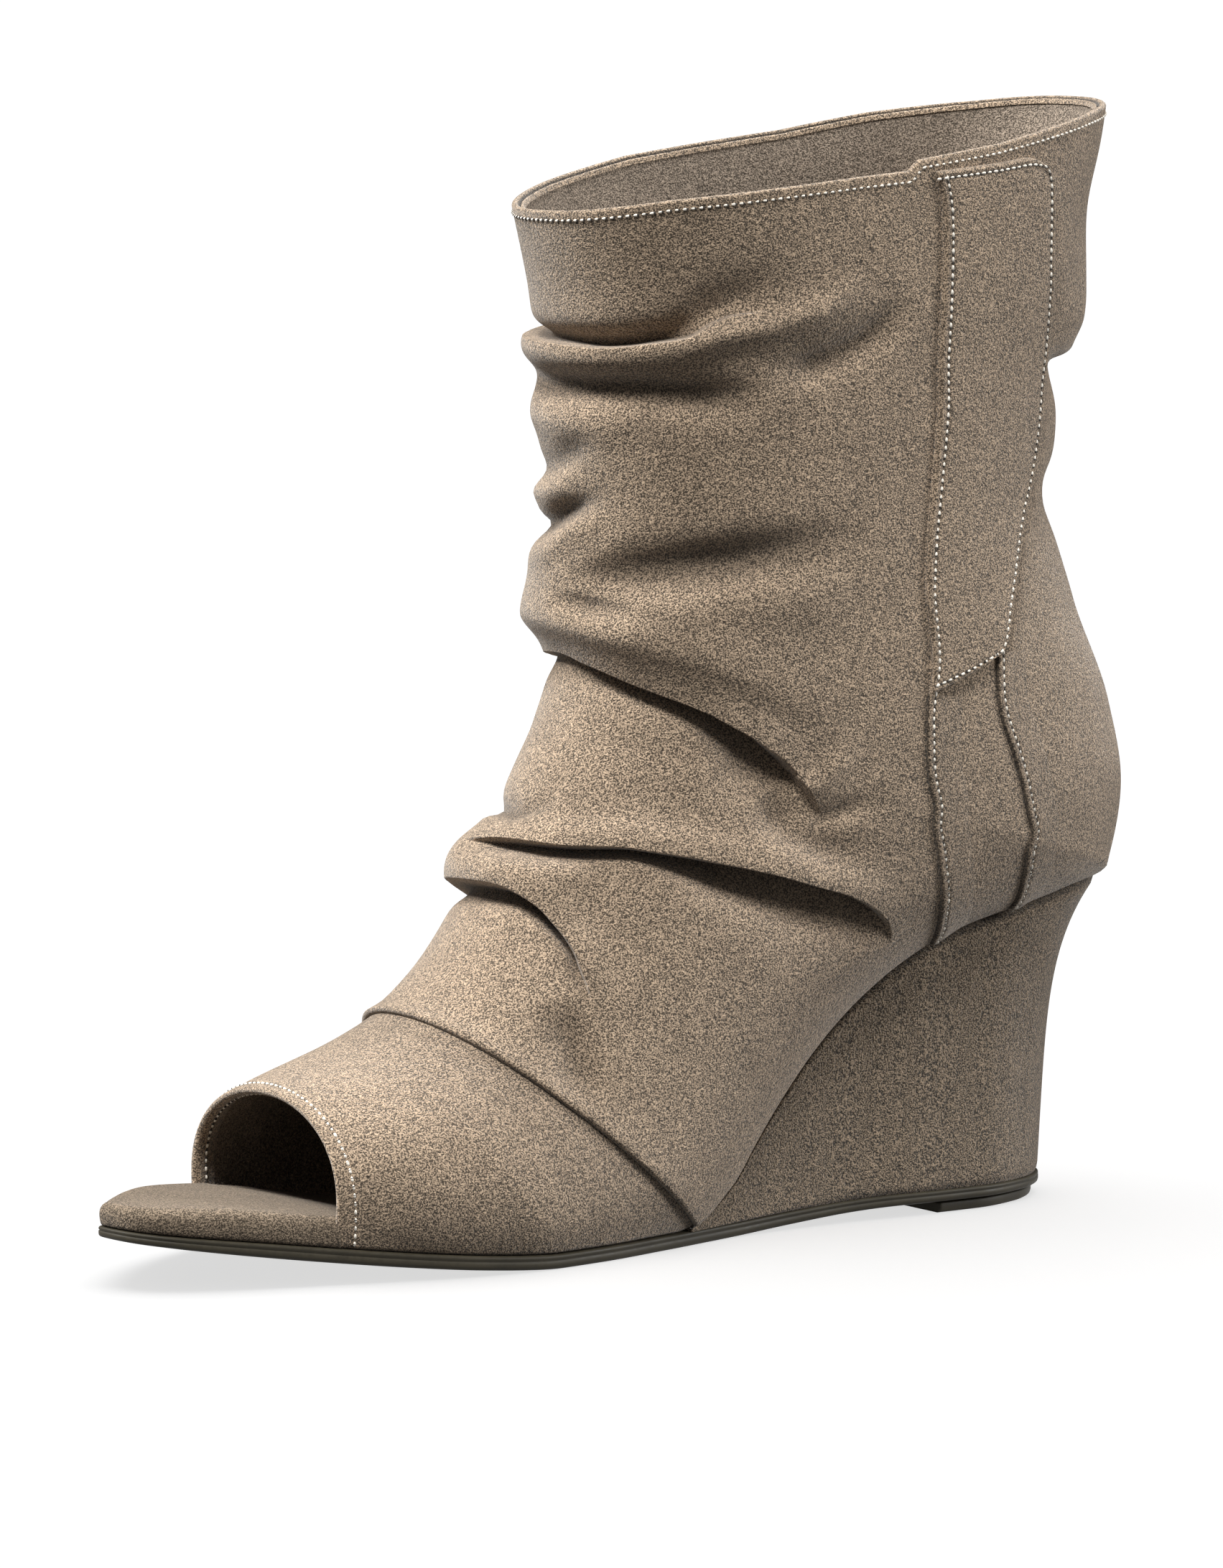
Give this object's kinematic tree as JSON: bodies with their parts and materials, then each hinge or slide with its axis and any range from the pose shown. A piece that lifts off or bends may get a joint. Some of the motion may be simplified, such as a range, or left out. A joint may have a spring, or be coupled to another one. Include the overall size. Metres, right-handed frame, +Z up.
{
  "type": "ankle boot",
  "caption": "Peep toe ankle boot for the right foot, slouched suede shaft with a side overlay on a covered wedge heel.",
  "frame": {"origin": "middle of the heel lift's flat underside, on the floor", "axes": "toe towards -X, inner side of the foot towards -Y, +Z up"},
  "size_m": [0.2562, 0.0825, 0.2361],
  "materials": {
    "suede": "taupe suede nap",
    "rubber": "smooth satin"
  },
  "bodies": {
    "root": {"outsole": "rubber", "heel_lift": "rubber", "wedge": "suede", "insole": "suede", "upper": "suede", "side_flap": "suede"}
  },
  "joints": []
}
